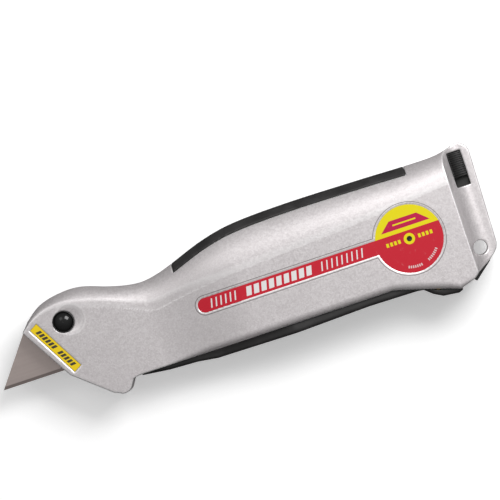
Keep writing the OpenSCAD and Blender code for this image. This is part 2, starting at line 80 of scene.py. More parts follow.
def netOf(grid, low, step):
    # naive surface nets: a point in each cell that the surface crosses, a face across each crossed edge
    inside = grid < 0
    shape = np.array(grid.shape) - 1
    corners = [(i, j, k) for i in (0, 1) for j in (0, 1) for k in (0, 1)]

    def shifted(a, c):
        return a[c[0]:c[0] + shape[0], c[1]:c[1] + shape[1], c[2]:c[2] + shape[2]]

    count = sum(shifted(inside, c).astype(np.int8) for c in corners)
    active = (count > 0) & (count < len(corners))
    cells = np.argwhere(active)
    index = np.full(active.shape, -1, np.int64)
    index[active] = np.arange(len(cells))
    total = np.zeros((len(cells), 3))
    hits = np.zeros(len(cells))
    at = tuple(cells.T)
    for axis in range(3):
        for c in corners:
            if c[axis]:
                continue
            d = list(c)
            d[axis] = 1
            a, b = shifted(grid, c)[at], shifted(grid, d)[at]
            cross = (a < 0) != (b < 0)
            t = np.where(cross, a / np.where(cross, a - b, 1), 0)
            p = np.array(c, float)[None, :] + t[:, None] * np.eye(3)[axis]
            total += np.where(cross[:, None], p, 0)
            hits += cross
    points = np.array(low) + (cells + total / hits[:, None]) * step
    faces = []
    for axis in range(3):
        u, v = (axis + 1) % 3, (axis + 2) % 3
        first, last = [1, 1, 1], list(shape)
        first[axis] = 0
        block = tuple(slice(a, b) for a, b in zip(first, last))
        ahead = tuple(slice(a + (k == axis), b + (k == axis)) for k, (a, b) in enumerate(zip(first, last)))
        where = np.argwhere(inside[block] != inside[ahead]) + np.array(first)
        starts = inside[tuple(where.T)]
        ring = []
        for du, dv in ((1, 1), (0, 1), (0, 0), (1, 0)):
            q = where.copy()
            q[:, u] -= du
            q[:, v] -= dv
            ring.append(index[tuple(q.T)])
        quads = np.stack(ring, 1)
        quads[~starts] = quads[~starts][:, ::-1]
        faces.append(quads)
    return points, np.concatenate(faces)


def surfaceOf(field, low, high, step):
    # the net of a distance field, with each point pulled onto the exact surface
    x, y, z = [np.arange(a, b + step, step) for a, b in zip(low, high)]
    grid = np.broadcast_to(field(x[:, None, None], y[None, :, None], z[None, None, :]),
                           (len(x), len(y), len(z))).astype(np.float32)
    points, faces = netOf(grid, low, step)
    e, most = netting["eps"], netting["pull"] * step
    for _ in range(netting["rounds"]):
        x, y, z = points.T
        slope = np.stack([field(x + e, y, z) - field(x - e, y, z),
                          field(x, y + e, z) - field(x, y - e, z),
                          field(x, y, z + e) - field(x, y, z - e)], 1) / (2 * e)
        size = np.maximum((slope ** 2).sum(1), netting["leastSlope"])
        points = points - np.clip(slope * (field(x, y, z) / size)[:, None], -most, most)
    return points, faces


def markEdges(obj, field, points, reach=0.3, low=0.5, high=1.6):
    # convex edges are kept as a point attribute between 0 and 1
    x, y, z = points.T
    around = (field(x + reach, y, z) + field(x - reach, y, z)
              + field(x, y + reach, z) + field(x, y - reach, z)
              + field(x, y, z + reach) + field(x, y, z - reach))
    bend = (around - 6 * field(x, y, z)) / reach ** 2
    sharp = np.clip((bend - low) / (high - low), 0, 1)
    obj.data.attributes.new("edge", "FLOAT", "POINT").data.foreach_set("value", sharp.astype(np.float32))


def smoothMax(a, b, r):
    # the larger of two distances, with an outside edge rounded at radius r
    if np.ndim(r) == 0 and r <= 0:
        return np.maximum(a, b)
    u, v = np.maximum(a + r, 0), np.maximum(b + r, 0)
    return np.minimum(np.maximum(a, b), -r) + np.hypot(u, v)


def cut(a, b, r):
    return smoothMax(a, -b, r)


def roundField(x, y, centre, radius):
    return np.hypot(x - centre[0], y - centre[1]) - radius


def boxField(x, y, z, low, high):
    c = [(a + b) / 2 for a, b in zip(low, high)]
    h = [(b - a) / 2 for a, b in zip(low, high)]
    return np.maximum(np.maximum(abs(x - c[0]) - h[0], abs(y - c[1]) - h[1]), abs(z - c[2]) - h[2])


def lineAt(points, x):
    return np.interp(x, *np.array(points).T)


def curveAt(points, x):
    # a smooth curve through the points
    p = np.array(points, float)
    n = len(p)
    lower, upper = np.maximum(np.arange(n) - 1, 0), np.minimum(np.arange(n) + 1, n - 1)
    slope = (p[upper, 1] - p[lower, 1]) / (p[upper, 0] - p[lower, 0])
    i = np.clip(np.searchsorted(p[:, 0], x, side="right") - 1, 0, n - 2)
    w = p[i + 1, 0] - p[i, 0]
    t = np.clip((x - p[i, 0]) / w, 0, 1)
    s = 1 - t
    return (p[i, 1] * (1 + 2 * t) * s * s + w * slope[i] * t * s * s
            + p[i + 1, 1] * (3 - 2 * t) * t * t - w * slope[i + 1] * s * t * t)


def polygonField(points, x, y):
    # signed distance to a closed outline, negative inside
    best, odd = None, None
    for (ax, ay), (bx, by) in zip(points, points[1:] + points[:1]):
        ex, ey = bx - ax, by - ay
        px, py = x - ax, y - ay
        t = np.clip((px * ex + py * ey) / (ex * ex + ey * ey), 0, 1)
        d = (px - ex * t) ** 2 + (py - ey * t) ** 2
        over = ((ay <= y) != (by <= y)) & (ex * py * np.sign(ey) < px * abs(ey))
        best = d if best is None else np.minimum(best, d)
        odd = over if odd is None else odd ^ over
    return np.where(odd, -1.0, 1.0) * np.sqrt(best)


def arcPoints(centre, radius, start, end, count):
    angles = [math.radians(start + (end - start) * i / count) for i in range(count + 1)]
    return [(centre[0] + radius * math.cos(a), centre[1] + radius * math.sin(a)) for a in angles]


casing = {
    # half thickness at the nose and the handle, the seam, and the tail's fin between its two scoops
    "noseHalf": 7.5, "half": 13.0, "widenStart": 48.0, "widenEnd": 86.0,
    "seam": -3.5, "seamGap": 0.05, "coverEnd": 170.9, "finHalf": 5.0, "scoopStart": 172.5, "scoopR": 8.0,
    "spine": [(-2, 29.6), (0, 29.8), (2.8, 32.8), (7.7, 36.6), (11.8, 38.3), (17, 39.3), (23, 39.6),
              (28.1, 38.7), (36, 36), (44, 34), (50, 33.6), (58, 35.2), (75, 41), (88, 43.7), (110, 44.6),
              (140, 44.2), (166, 43.6), (173, 44.2), (181, 46.6), (186, 48)],
    "flat": [(-2, 29.1), (0, 29.3), (4.5, 32.6), (8.7, 34.5), (12.6, 35.3), (16.3, 35.5),
             (19.8, 35.1), (27.9, 32.7), (34.4, 30.6), (46, 25.6), (51.9, 23.8), (59.8, 24.4), (69.6, 25),
             (100, 26.5), (140, 29), (172, 32), (186, 33.5)],
    "rounding": [(-2, 6), (48, 6), (86, 11), (150, 11), (172, 7), (186, 6)],
    "crease": [(-2, 0.4), (6, 1.6), (20, 2.2), (50, 2.0), (72, 0.5), (90, 0.0), (186, 0.0)],
    "creaseR": [(58, 0.35), (80, 0.04), (186, 0.04)],
    "edgeR": [(50, 0.6), (66, 2.6), (160, 2.6), (170, 0.7)],
    "box": [(-1.2, -9.4, -13.8), (185.0, 48.0, 13.8)], "coverHigh": (172.0, 48.0, -2.5), "voxel": 0.4,
}
# how far each edge cut into the casing is rounded
rounded = {"scoop": 0.35, "gripBed": 0.3, "insertBed": 0.15, "seam": 0.3, "bay": 0.3, "nearBay": 0.25,
           "hole": 0.4, "well": 0.1, "dish": 0.3, "label": 0.08, "sticker": 0.05, "screw": 0.25}
outline = ([(-0.2, 29.4), (0.4, 28.5), (11.1, 10.3), (12.3, 8.3), (26, -3.3)]
           + arcPoints((30.2, -1.3), 3.6, 232, 332, 8)
           + [(34.8, -0.65), (35.8, -0.3), (38, 0), (139.2, 0), (142.6, -0.8), (150.5, -3.1), (164.2, -7.3),
              (165, -7.1), (170.5, -5.3), (172.6, -3.6), (178.1, -0.5), (180.6, 1.5), (182, 3.1), (182.7, 5.2),
              (183.7, 41), (183.6, 42.3), (183.1, 43.6), (182.2, 44.7), (181, 45.6), (179.7, 46.15),
              (179, 60), (-0.2, 60)])
grip = {"start": 62.0, "end": 158.0, "deep": 3.6, "gap": 0.12, "edgeR": 0.35,
        "box": [(60.5, 30.0, -13.2), (159.5, 46.2, 13.2)], "voxel": 0.5}
label = {"stripeX": 67.0, "stripeY": 17.4, "stripeW": 5.5, "disc": (151.5, 16.9), "discR": 13.0,
         "gap": 0.12, "recess": 0.3, "outlineAt": 1.0, "outlineW": 0.16}
sticker = {"corner": (17.5, 10.7), "size": (3.6, 23.3), "tilt": 29.3, "sink": 0.17,
           "bedShift": (0.07, 0.042), "bedGrow": 0.27}
button = {"centre": (16.2, 28.5), "wellR": 4.12, "floor": 4.2, "stemHole": 1.45,
          "dish": (18.8, 28.7), "dishR": 5.3, "dishDeep": 0.8,
          "top": 9.2, "domeR": 3.7, "collar": (6.6, 7.9), "collarR": (3.8, 4.1), "collarEdge": 0.3,
          "skirtR": 4.0, "skirt": (5.75, 6.5), "roomR": 3.0, "roomTop": 7.0, "stemR": 1.4, "stemEnd": 3.5}
hole = {"centre": (176.1, 5.1), "radius": 2.75}
insert = {"outline": [(178.3, -0.7), (171, -6.7), (170.1, -5.7), (171.2, -2.9), (176.4, 1.4)], "half": 4.0,
          "gap": (0.05, 0.06), "edgeR": 0.25, "box": [(169.0, -7.8, -5.0), (179.4, 2.4, 5.0)], "voxel": 0.25}
bays = {
    "bladeSlot": [(-2, 9.9, -0.8), (15, 30.2, 0.8)],
    "carriage": [(13, 9.9, -3.2), (92.5, 30.2, 3.2)],
    "rails": [(26, 20, -4.25), (50, 23, 4.25)],
    "leverFront": [(37.4, -20, -5.3), (87, 8.5, 5.3)],
    "leverMid": [(70, -20, -8), (100, 27, 8)],
    "leverRear": [(86, -20, -10.6), (166.2, 27, 10.6)],
    "upper": [(86, 26, -8), (158, 36, 8)],
}
plateBay = {"side": [(52.4, -20), (52.4, 21), (60, 25), (92, 33), (92, -20)], "half": 5.3}
nearBays = {
    "bar": [(149, 29.2, 3), (175, 36.9, 4.9)],
    "slider": [(174.9, 29.3, 2.9), (180.4, 43, 14)],
    "drawer": [(110, 8.6, -2.6), (186, 29.3, 2.6)],
    "notch": [(181, 14, -6), (186, 24, -2.4)],
}
innerRib = [(95.6, 12, -2.9), (98.4, 37, 2.9)]
# each screw's place, and the face that it is sunk into
screws = {"places": [(24, 4, -7.5), (23, 33.6, -7.5), (78, 33.2, -11), (134, 33, -13), (163.5, 32, -13)],
          "headR": 2.8, "headDeep": 2, "holeR": 1.5, "postAt": 3, "postR": 3.2, "postEnd": 8.2}


def halfAt(x):
    t = np.clip((x - casing["widenStart"]) / (casing["widenEnd"] - casing["widenStart"]), 0, 1)
    return casing["noseHalf"] + (casing["half"] - casing["noseHalf"]) * t * t * (3 - 2 * t)


def skinField(x, y, z):
    # flat sides with a soft crease, and a crown from there to the spine
    h = halfAt(x)
    deep, lift = lineAt(casing["rounding"], x), lineAt(casing["crease"], x)
    y0 = curveAt(casing["flat"], x) - lift
    ry = np.maximum(curveAt(casing["spine"], x) - y0, 0.3)
    rz = deep / np.sqrt(np.maximum(1 - (lift / ry) ** 2, 0.3))
    u, v = np.maximum(y - y0, 0) / ry, np.maximum(abs(z) - (h - deep), 0) / rz
    q = np.maximum(np.hypot(u, v), 1e-6)
    steep = np.maximum(np.hypot(u / ry, v / rz) / q, 0.02)
    crown = (q - 1) / steep - np.maximum(y0 - y, 0)
    return smoothMax(abs(z) - h, crown, lineAt(casing["creaseR"], x))


def gripSpan(x):
    return abs(x - (grip["start"] + grip["end"]) / 2) - (grip["end"] - grip["start"]) / 2


def casingField(x, y, z):
    f = smoothMax(skinField(x, y, z), polygonField(outline, x, y), lineAt(casing["edgeR"], x))
    fin, start, r = casing["finHalf"], casing["scoopStart"], casing["scoopR"]
    scoop = np.hypot(x - start - r, abs(z) - fin - r) - r
    behind = np.maximum(start + r - x, fin - abs(z))
    f = cut(f, np.minimum(scoop, behind), rounded["scoop"])
    spine = curveAt(casing["spine"], x) - grip["deep"] - y
    f = cut(f, np.maximum(spine, gripSpan(x)), rounded["gripBed"])
    chamfer = np.maximum(polygonField(insert["outline"], x, y), abs(z) - insert["half"])
    return cut(f, chamfer, rounded["insertBed"])


def bayField(x, y, z):
    f = np.maximum(polygonField(plateBay["side"], x, y), abs(z) - plateBay["half"])
    for low, high in bays.values():
        f = np.minimum(f, boxField(x, y, z, low, high))
    return f


def postField(x, y, z, low, high):
    away = roundField(x, y, screws["places"][screws["postAt"]], screws["postR"])
    return np.maximum(away, np.maximum(low - z, z - high))


def labelField(x, y, grow):
    end = label["stripeW"] / 2
    reach = np.clip(x, label["stripeX"] + end, label["disc"][0])
    stripe = np.hypot(x - reach, y - label["stripeY"]) - end
    return np.minimum(stripe, roundField(x, y, label["disc"], label["discR"])) - grow


def alongSticker(x, y):
    # across and along the strip, from its corner; for arrays and for wires
    a = math.radians(sticker["tilt"])
    px, py = x - sticker["corner"][0], y - sticker["corner"][1]
    return px * math.cos(a) + py * math.sin(a), py * math.cos(a) - px * math.sin(a)


def stickerField(x, y, grow):
    u, v = alongSticker(x, y)
    w, length = sticker["size"]
    return np.maximum(abs(u + w / 2) - w / 2, abs(v - length / 2) - length / 2) - grow


def dishField(x, y, z):
    # a shallow part of a ball, sunk in the nose's side
    d, r = button["dishDeep"], button["dishR"]
    ball = (r * r + d * d) / (2 * d)
    cx, cy = button["dish"]
    return np.sqrt((x - cx) ** 2 + (y - cy) ** 2 + (z - casing["noseHalf"] + d - ball) ** 2) - ball


def mainField(x, y, z):
    seam = casing["seam"]
    f = casingField(x, y, z)
    f = smoothMax(f, np.minimum(seam - z, casing["coverEnd"] + casing["seamGap"] - x), rounded["seam"])
    f = cut(f, bayField(x, y, z), rounded["bay"])
    f = np.minimum(f, boxField(x, y, z, *innerRib))
    f = np.minimum(f, postField(x, y, z, seam, screws["postEnd"]))
    for low, high in nearBays.values():
        f = cut(f, boxField(x, y, z, low, high), rounded["nearBay"])
    f = cut(f, roundField(x, y, hole["centre"], hole["radius"]), rounded["hole"])
    well = np.maximum(roundField(x, y, button["centre"], button["wellR"]), button["floor"] - z)
    f = cut(f, well, rounded["well"])
    f = cut(f, np.maximum(roundField(x, y, button["centre"], button["stemHole"]), -z), 0)
    f = cut(f, dishField(x, y, z), rounded["dish"])
    under = halfAt(x) - z
    f = cut(f, np.maximum(labelField(x, y, label["gap"]), under - label["recess"]), rounded["label"])
    bed = stickerField(x + sticker["bedShift"][0], y + sticker["bedShift"][1], sticker["bedGrow"])
    return cut(f, np.maximum(bed, under - sticker["sink"]), rounded["sticker"])


def coverField(x, y, z):
    top = casing["seam"] - casing["seamGap"]
    f = casingField(x, y, z)
    f = smoothMax(f, np.maximum(z - top, x - casing["coverEnd"]), rounded["seam"])
    f = cut(f, bayField(x, y, z), rounded["bay"])
    f = cut(f, boxField(x, y, z, *nearBays["drawer"]), rounded["nearBay"])
    f = np.minimum(f, postField(x, y, z, -screws["postEnd"], top))
    for sx, sy, face in screws["places"]:
        head = np.maximum(roundField(x, y, (sx, sy), screws["headR"]), z - face - screws["headDeep"])
        f = cut(f, head, rounded["screw"])
        f = cut(f, roundField(x, y, (sx, sy), screws["holeR"]), 0)
    return f


def makeCasing():
    low, high = casing["box"]
    points, faces = surfaceOf(mainField, low, high, casing["voxel"])
    main = meshObject("casingBody", points, faces)
    markEdges(main, mainField, points)
    standFor(main, "main_body", "casing", "cast_paint")
    points, faces = surfaceOf(coverField, low, casing["coverHigh"], casing["voxel"])
    cover = meshObject("casingCover", points, faces)
    markEdges(cover, coverField, points)
    standFor(cover, "back_cover", "casing", "cast_paint")


lever = {
    "under": [(38.2, -0.5), (49, -1.8), (60, -2.3), (68, -3.4), (100, -3.7), (129, -2.8), (148, -3.1),
              (150.5, -3.4), (153.5, -6), (156.9, -7.9), (163.1, -8.65), (164.8, -8)],
    "over": [(165, -3), (162.5, 2), (158, 5.5), (150, 8), (86, 8), (52, 5.5), (38.2, 3.6)],
    "halves": [(38, 4.9), (70.4, 4.9), (84, 7.6), (86, 7.8), (99, 10.2), (170, 10.2)], "edgeR": 1.3,
    # start and end along the lever, floor, and the nearest and furthest from the middle plane
    "pockets": [(54.2, 152, 1, 3.1, 8.0), (54.2, 126, 5, -4.1, 4.1), (126, 152, 0, -5, 5),
                (151, 200, -0.8, -5, 5)],
    "pocketEdge": 0.3, "pivot": (157, -1.5), "bushR": 3.52, "roomR": 5.0, "roomHalf": 5.0, "boreEdge": 0.2,
    "rivets": [(76, 3.2), (100, 3.2), (122, 3.2)], "rivetHole": 1.22,
    "box": [(37.2, -9.8, -11.2), (166.2, 9.2, 11.2)], "voxel": 0.5,
}


def pocketField(x, y, z, start, end, floor, near, far):
    side = np.maximum(abs(x - (start + end) / 2) - (end - start) / 2, floor - y)
    return np.maximum(side, abs(abs(z) - (near + far) / 2) - (far - near) / 2)


def leverField(x, y, z):
    f = polygonField(lever["under"] + lever["over"], x, y)
    f = smoothMax(f, abs(z) - lineAt(lever["halves"], x), lever["edgeR"])
    pockets = [pocketField(x, y, z, *pocket) for pocket in lever["pockets"]]
    inside = pockets[0]
    for pocket in pockets[1:]:
        inside = np.minimum(inside, pocket)
    f = cut(f, inside, lever["pocketEdge"])
    room = np.maximum(roundField(x, y, lever["pivot"], lever["roomR"]), abs(z) - lever["roomHalf"])
    f = cut(f, room, lever["boreEdge"])
    f = cut(f, roundField(x, y, lever["pivot"], lever["bushR"]), lever["boreEdge"])
    for place in lever["rivets"]:
        f = cut(f, roundField(x, y, place, lever["rivetHole"]), 0)
    return f


def makeLever():
    points, faces = surfaceOf(leverField, *lever["box"], lever["voxel"])
    obj = meshObject("leverShell", points, faces)
    markEdges(obj, leverField, points)
    standFor(obj, "squeeze_lever", "lever", "lever_plastic")


def gripField(x, y, z):
    low = curveAt(casing["spine"], x) - grip["deep"] + grip["gap"] - y
    return smoothMax(skinField(x, y, z), np.maximum(low, gripSpan(x) + grip["gap"]), grip["edgeR"])


def makeGrip():
    obj = meshObject("spineGrip", *surfaceOf(gripField, *grip["box"], grip["voxel"]))
    standFor(obj, "spine_grip", "casing", "soft_black")


def insertField(x, y, z):
    side, end = insert["gap"]
    return smoothMax(polygonField(insert["outline"], x, y) + side, abs(z) - insert["half"] + end,
                     insert["edgeR"])


def makeInsert():
    obj = meshObject("tailInsert", *surfaceOf(insertField, *insert["box"], insert["voxel"]))
    standFor(obj, "tail_insert", "casing", "black_plastic")


slider = {"low": (175.1, 32.9, 3.05), "high": (180.2, 42.8, 13.0), "edgeR": 0.3,
          "proud": 0.75, "sag": 0.45, "ribs": 12, "ribDeep": 0.42, "ribFade": 0.5,
          "barSlot": [(170, 33.1, 3.2), (177.65, 36.4, 4.7)], "margin": 0.4, "voxel": 0.14}


def sliderField(x, y, z):
    # a proud crown along the scoop's curve, with rounded ribs across it
    low, high = slider["low"], slider["high"]
    cx, cz = casing["scoopStart"] + casing["scoopR"], casing["finHalf"] + casing["scoopR"]
    middle, reach = (low[1] + high[1]) / 2, (high[1] - low[1]) / 2
    crown = slider["proud"] * (1 - ((y - middle) / reach) ** 4 * slider["sag"])
    phase = (y - low[1]) / (high[1] - low[1]) * slider["ribs"]
    rib = np.clip(0.5 + 0.9 * np.cos(2 * math.pi * phase), 0, 1) * slider["ribDeep"]
    inEdge = np.clip(np.minimum(x - low[0], high[0] - x) / slider["ribFade"], 0, 1)
    surface = casing["scoopR"] - crown + rib * inEdge - np.hypot(x - cx, z - cz)
    f = smoothMax(boxField(x, y, z, low, high), surface, slider["edgeR"])
    return cut(f, boxField(x, y, z, *slider["barSlot"]), 0)


def makeSlider():
    low = [a - slider["margin"] for a in slider["low"]]
    high = [a + slider["margin"] for a in slider["high"]]
    obj = meshObject("sliderGrip", *surfaceOf(sliderField, low, high, slider["voxel"]))
    standFor(obj, "lock_slider", "slider", "black_plastic")


def lathe(name, centre, profile, steps=96):
    # profile is a closed loop of (radius, height)
    n = len(profile)
    turns = [2 * math.pi * k / steps for k in range(steps)]
    points = [(centre[0] + r * math.cos(a), centre[1] + r * math.sin(a), z)
              for a in turns for r, z in profile]
    faces = [(k * n + i, k * n + (i + 1) % n, (k + 1) % steps * n + (i + 1) % n, (k + 1) % steps * n + i)
             for k in range(steps) for i in range(n)]
    return meshObject(name, np.array(points), faces)


def roundedLoop(corners, r, steps=5):
    # closed loop with each corner rounded
    out = []
    n = len(corners)
    for i in range(n):
        p, a, b = (np.array(corners[j % n], float) for j in (i, i - 1, i + 1))
        u, v = (a - p) / np.linalg.norm(a - p), (b - p) / np.linalg.norm(b - p)
        d = min(r, 0.45 * np.linalg.norm(a - p), 0.45 * np.linalg.norm(b - p))
        for k in range(steps + 1):
            t = k / steps
            out.append(tuple(p + u * d * (1 - t) ** 2 + v * d * t ** 2))
    return out


def makeButton():
    (low, high), (collarIn, collarOut) = button["collar"], button["collarR"]
    r, top = button["domeR"], button["top"]
    rise = top - high + 0.2
    ball = (r * r + rise * rise) / (2 * rise)
    dome = [(ball * math.sin(a), top - ball + ball * math.cos(a))
            for a in np.linspace(0.001, math.asin((r - 0.25) / ball), 18)]
    skirtLow, skirtHigh = button["skirt"]
    under = [(r - 0.08, high - 0.32), (r, high - 0.55), (r, skirtHigh), (button["skirtR"], skirtHigh),
             (button["skirtR"], skirtLow), (button["roomR"], skirtLow), (button["roomR"], button["roomTop"]),
             (button["stemR"], button["roomTop"]), (button["stemR"], button["stemEnd"])]
    obj = lathe("buttonDome", button["centre"], [(0.001, button["stemEnd"])] + dome + under)
    standFor(obj, "release_button", "button", "gloss_black")
    ring = [(collarIn, high), (collarOut, high), (collarOut, low), (collarIn, low)]
    collar = lathe("buttonCollar", button["centre"], roundedLoop(ring, button["collarEdge"]))
    standFor(collar, "button_collar", "casing", "black_plastic")


class Wire:
    # a shader socket that Python's operators work on
    def __init__(self, graph, socket):
        self.graph = graph
        self.socket = socket

    def output(self, which):
        return Wire(self.graph, self.socket.node.outputs[which])

    def math(self, operation, *others, clamp=False):
        return self.graph.math(operation, self, *others, clamp=clamp)

    def __add__(self, other):
        return self.math("ADD", other)

    def __sub__(self, other):
        return self.math("SUBTRACT", other)

    def __rsub__(self, other):
        return self.graph.math("SUBTRACT", other, self)

    def __mul__(self, other):
        return self.math("MULTIPLY", other)

    def __truediv__(self, other):
        return self.math("DIVIDE", other)

    def __gt__(self, other):
        return self.math("GREATER_THAN", other)

    def __lt__(self, other):
        return self.math("LESS_THAN", other)

    __radd__ = __add__
    __rmul__ = __mul__

    def high(self, other):
        return self.math("MAXIMUM", other)

    def low(self, other):
        return self.math("MINIMUM", other)

    def size(self):
        return self.math("ABSOLUTE")

    def root(self):
        return self.math("SQRT")

    def wrap(self, period):
        return self.math("FLOORED_MODULO", period)

    def within(self, low, high):
        return (self > low) * (self < high)

    def soft(self, low, high):
        # 0 at low, 1 at high
        return (self - low).math("DIVIDE", high - low, clamp=True)


class Graph:
    def __init__(self, tree):
        self.tree = tree

    def fill(self, made, values):
        for key, value in values.items():
            slot = made.inputs[key]
            if isinstance(value, Wire):
                self.tree.links.new(value.socket, slot)
            else:
                slot.default_value = (*value, 1) if slot.type == "RGBA" else value

    def node(self, kind, settings=None, values=None, output=0):
        made = self.tree.nodes.new(kind)
        for key, value in (settings or {}).items():
            if key == "stops":
                self.setStops(made.color_ramp.elements, value)
            else:
                setattr(made, key, value)
        self.fill(made, values or {})
        return Wire(self, made.outputs[output])

    def setStops(self, stops, wanted):
        while len(stops) > 1:
            stops.remove(stops[-1])
        for i, (at, colour) in enumerate(wanted):
            stop = stops.new(at) if i else stops[0]
            stop.position = at
            stop.color = (*colour, 1)

    def math(self, operation, *values, clamp=False):
        settings = {"operation": operation, "use_clamp": clamp}
        return self.node("ShaderNodeMath", settings, dict(enumerate(values)))

    def mix(self, factor, a, b):
        # colours, each a wire or three numbers
        return self.node("ShaderNodeMix", {"data_type": "RGBA"}, {0: factor, 6: a, 7: b}, 2)


class Finish(Graph):
    def __init__(self, name, colour, metallic=0.0, roughness=0.5, constants=None):
        self.material = bpy.data.materials.new(name)
        self.material.use_nodes = True
        super().__init__(self.material.node_tree)
        self.shader = self.tree.nodes["Principled BSDF"]
        self.fill(self.shader, {"Base Color": colour, "Metallic": metallic, "Roughness": roughness})
        self.fill(self.shader, constants or {})
        self.place = self.node("ShaderNodeTexCoord", output="Object")

    def feed(self, name, wire):
        self.fill(self.shader, {name: wire})

    def axes(self):
        # the casing's own millimetres
        split = self.node("ShaderNodeSeparateXYZ", values={0: self.place})
        return [split.output(i) / mm - float(origin[i]) for i in range(3)]

    def noise(self, scale, detail=2.0, rough=0.5, vector=None):
        values = {"Vector": vector or self.place, "Scale": scale, "Detail": detail, "Roughness": rough}
        return self.node("ShaderNodeTexNoise", values=values)

    def cells(self, feature, scale, output):
        values = {"Vector": self.place, "Scale": scale}
        return self.node("ShaderNodeTexVoronoi", {"feature": feature}, values, output)

    def stretched(self, scale):
        return self.node("ShaderNodeMapping", values={"Vector": self.place, "Scale": scale})

    def bump(self, height, strength, distance):
        values = {"Height": height, "Strength": strength, "Distance": distance}
        self.feed("Normal", self.node("ShaderNodeBump", values=values))


# the last colours are for convex edges (wear and painted highlight), the painted shadow line round the label
# and the painted shade in the slider's slot
silver = {"tones": [(0.2, (0.5, 0.465, 0.47)), (0.5, (0.62, 0.585, 0.59)), (0.8, (0.76, 0.73, 0.735))],
          "wornEdgeHighlight": (0.93, 0.91, 0.91), "line": (0.1, 0.085, 0.08), "slot": (0.012, 0.011, 0.01),
          "slotMargin": 0.1, "slotBelow": 0.3, "slotFloor": 2.0, "metallic": 0.5}


def labelShadowLine(x, y, z):
    # 1 on the thin painted shadow line round the label's recess
    cx, cy = label["disc"]
    alongX = x - x.high(label["stripeX"] + label["stripeW"] / 2).low(cx)
    alongY, dx, dy = y - label["stripeY"], x - cx, y - cy
    stripe = (alongX * alongX + alongY * alongY).root() - label["stripeW"] / 2
    disc = (dx * dx + dy * dy).root() - label["discR"]
    off = (stripe.low(disc) - label["outlineAt"]).size() / label["outlineW"]
    return (1 - off.soft(0.6, 1.4)) * (z > casing["finHalf"])


def paintedSlotShade(x, y, z):
    # 1 inside the slider's slot, below the scooped face, where near-black is painted as shade
    (x0, y0, _), (x1, y1, _) = nearBays["slider"]
    r, edge = casing["scoopR"], silver["slotMargin"]
    reach = x - (casing["scoopStart"] + r)
    face = casing["finHalf"] + r - (r ** 2 - reach * reach).high(0.0).root()
    inSlot = x.within(x0 - edge, x1 + edge) * y.within(y0 - edge, y1 + edge)
    return inSlot * (z < face - silver["slotBelow"]) * (z > silver["slotFloor"])


def castPaint():
    # satin silver with fine metal flakes, convex edges lightened as wear and as a painted highlight, a painted
    # shadow line round the label and painted shade in the slider's slot
    f = Finish("castPaint", (0.6, 0.57, 0.575), silver["metallic"], 0.42,
               {"Coat Weight": 0.1, "Coat Roughness": 0.3})
    glint = f.node("ShaderNodeSeparateColor", values={"Color": f.cells("F1", 2200.0, "Color")})
    fine = f.noise(1500.0, 2.0, 0.6)
    cloud = f.noise(60.0, 3.0, 0.5)
    tone = (glint - 0.5) * 0.2 + (fine - 0.5) * 0.22 + (cloud - 0.5) * 0.06 + 0.5
    paint = f.node("ShaderNodeValToRGB", {"stops": silver["tones"]}, {"Fac": tone})
    edge = f.node("ShaderNodeAttribute", {"attribute_name": "edge"}, output="Fac")
    edge = edge * ((cloud - 0.5) * 0.4 + 0.5)
    x, y, z = f.axes()
    line, liner = labelShadowLine(x, y, z), paintedSlotShade(x, y, z)
    # convex edges lightened toward pale silver: partly edge wear, partly a painted highlight along the edges
    paint = f.mix(edge, paint, silver["wornEdgeHighlight"])
    # painted shadow: a dark line round the label's recess, also bumped in as a groove
    base = f.mix(line * 0.72, paint, silver["line"])
    # painted shade: the slider's slot is painted near-black, not metallic and rougher, for the dark of the
    # empty slot
    f.feed("Base Color", f.mix(liner, base, silver["slot"]))
    f.feed("Metallic", (1 - liner) * silver["metallic"])
    f.feed("Roughness", (glint - 0.5) * 0.16 + (cloud - 0.5) * 0.08 + 0.4 + liner * 0.25 - edge * 0.08)
    f.bump(fine * 0.6 + glint * 0.5 - line * 2.0, 0.14, 0.00012)
    return f.material


def blackMoulded(name, colour, roughness, grain, strength):
    f = Finish(name, colour, 0.0, roughness)
    wear = f.noise(90.0, 4.0, 0.6)
    f.feed("Base Color", f.mix(wear.soft(0.4, 0.75), colour, tuple(c * 1.7 + 0.004 for c in colour)))
    f.feed("Roughness", (wear - 0.5) * 0.25 + roughness)
    f.bump(f.cells("SMOOTH_F1", grain, "Distance"), strength, 0.0001)
    return f.material


def glossBlack():
    f = Finish("glossBlack", (0.006, 0.006, 0.006), 0.0, 0.12, {"Specular IOR Level": 0.35})
    smear = f.noise(350.0, 3.0, 0.6)
    f.feed("Roughness", (smear - 0.5) * 0.1 + 0.12)
    f.feed("Base Color", f.mix(smear, (0.003, 0.003, 0.003), (0.009, 0.009, 0.009)))
    return f.material


def groundSteel(name, colour, roughness, grain, along=(1.0, 1.0, 1.0)):
    f = Finish(name, colour, 1.0, roughness)
    lines = f.noise(grain, 3.0, 0.65, f.stretched(along))
    stain = f.noise(70.0, 3.0, 0.5)
    dark, bright = tuple(c * 0.78 for c in colour), tuple(min(c * 1.15, 1) for c in colour)
    f.feed("Base Color", f.mix(lines * 0.7 + stain * 0.3, dark, bright))
    f.feed("Roughness", (lines - 0.5) * 0.25 + roughness)
    f.bump(lines, 0.12, 0.00008)
    return f.material


